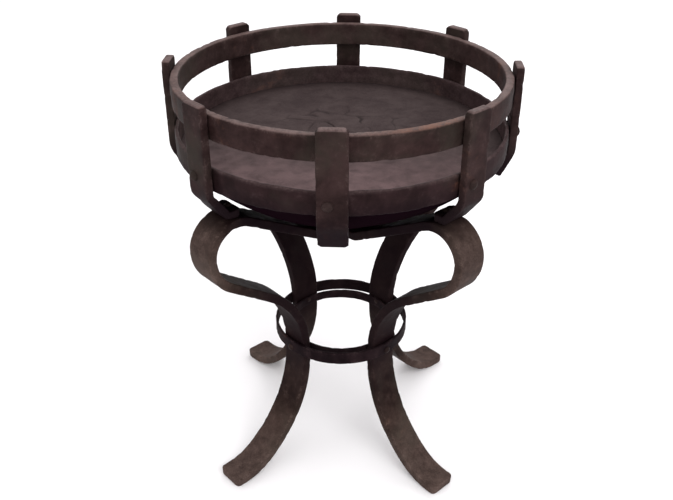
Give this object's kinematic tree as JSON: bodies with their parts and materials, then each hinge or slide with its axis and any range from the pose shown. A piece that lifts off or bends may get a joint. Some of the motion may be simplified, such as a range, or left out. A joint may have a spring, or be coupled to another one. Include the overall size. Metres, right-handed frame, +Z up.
{
  "type": "coal forge",
  "caption": "Free-standing iron fire pan for coal: a clay-bedded round pan with an open hoop above it, strapped and riveted, on scrolled flat-bar legs clamped at the waist by rings.",
  "frame": {"origin": "on the floor, under the middle of the pan", "axes": "+Z up along the pan's axis; -Y is the front; the legs stand between the axes, at 45 degrees to them"},
  "size_m": [0.642, 0.642, 0.808],
  "materials": {
    "hoop_iron": "forged, soot-dark, rubbed bright brown on the edges, patches of rust",
    "pan_iron": "forged, soot-dark, matt, patches of rust",
    "strap_iron": "forged, dark brown, rubbed edges",
    "leg_iron": "forged, dark brown, satin where handled",
    "ring_iron": "forged, dark brown",
    "rivet_iron": "forged heads, rubbed",
    "clay": "dry, rough, sooty clay and ash, cracked"
  },
  "bodies": {
    "root": {"top_hoop": "hoop_iron", "pan_band": "pan_iron", "pan_dish": "pan_iron", "clay_bed": "clay", "strap_front": "strap_iron", "strap_right": "strap_iron", "strap_back": "strap_iron", "strap_left": "strap_iron", "strap_front_right": "strap_iron", "strap_back_right": "strap_iron", "strap_back_left": "strap_iron", "strap_front_left": "strap_iron", "leg_front_right": "leg_iron", "leg_back_right": "leg_iron", "leg_back_left": "leg_iron", "leg_front_left": "leg_iron", "outer_waist_ring": "ring_iron", "inner_waist_ring": "ring_iron", "hoop_rivets": "rivet_iron", "band_rivets": "rivet_iron", "waist_rivets": "rivet_iron", "scroll_rivets": "rivet_iron", "dish_rivets": "rivet_iron"}
  },
  "joints": []
}
